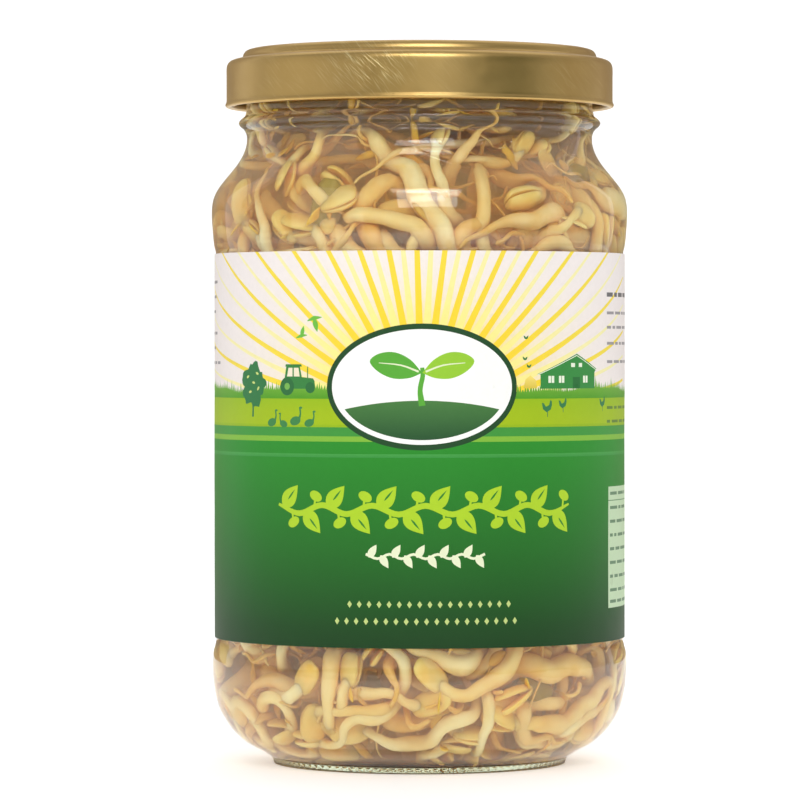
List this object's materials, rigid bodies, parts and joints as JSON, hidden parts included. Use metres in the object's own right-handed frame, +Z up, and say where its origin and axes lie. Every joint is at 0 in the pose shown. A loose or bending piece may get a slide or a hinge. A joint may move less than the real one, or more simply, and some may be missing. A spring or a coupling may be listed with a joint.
{
  "type": "jar of bean sprouts",
  "caption": "Round twist-off glass jar packed with bean sprouts in brine, with a paper label and a lugged metal lid that unscrews.",
  "frame": {"origin": "centre of the ring that the jar stands on, at the surface that it stands on", "axes": "+Z up along the jar's axis; the front of the label faces -Y, and its two ends meet at +Y"},
  "size_m": [0.0738, 0.0738, 0.1264],
  "materials": {
    "glass": "clear, smooth flint glass with a very slight green tint",
    "lid_lacquer": "gold-lacquered tinplate, satin, with fine scuffs",
    "sealing_compound": "matt, soft, off-white",
    "label_paper": "printed coated paper, satin",
    "brine": "clear, slightly yellow liquid",
    "sprout": "moist cream plant tissue, translucent, yellow at the seed leaves"
  },
  "bodies": {
    "root": {"glass_jar": "glass", "paper_label": "label_paper", "brine": "brine", "sprout_01": "sprout", "sprout_02": "sprout", "sprout_03": "sprout", "sprout_04": "sprout", "sprout_05": "sprout", "sprout_06": "sprout", "sprout_07": "sprout", "sprout_08": "sprout", "sprout_09": "sprout", "sprout_10": "sprout", "sprout_11": "sprout", "sprout_12": "sprout", "sprout_13": "sprout", "sprout_14": "sprout", "sprout_15": "sprout", "sprout_16": "sprout", "sprout_17": "sprout", "sprout_18": "sprout", "sprout_19": "sprout", "sprout_20": "sprout", "sprout_21": "sprout", "sprout_22": "sprout", "sprout_23": "sprout", "sprout_24": "sprout", "sprout_25": "sprout", "sprout_26": "sprout", "sprout_27": "sprout", "sprout_28": "sprout", "sprout_29": "sprout", "sprout_30": "sprout", "sprout_31": "sprout", "sprout_32": "sprout", "sprout_33": "sprout", "sprout_34": "sprout", "sprout_35": "sprout", "sprout_36": "sprout", "sprout_37": "sprout", "sprout_38": "sprout", "sprout_39": "sprout", "sprout_40": "sprout", "sprout_41": "sprout", "sprout_42": "sprout", "sprout_43": "sprout", "sprout_44": "sprout", "sprout_45": "sprout", "sprout_46": "sprout", "sprout_47": "sprout", "sprout_48": "sprout"},
    "seal": {"sealing_ring": "sealing_compound"},
    "lid": {"twist_off_lid": "lid_lacquer"}
  },
  "joints": [
    {"name": "lid_lift", "type": "slide", "parent": "root", "child": "seal", "axis": [0, 0, 1], "range_m": [0, 0.002]},
    {"name": "lid_turn", "type": "hinge", "parent": "seal", "child": "lid", "pos_m": [0, 0, 0.1217], "axis": [0, 0, 1], "range_deg": [0, 63]}
  ],
  "couplings": [
    {"joint": "lid_lift", "follows": "lid_turn", "m_per_rad": 0.0018189}
  ]
}
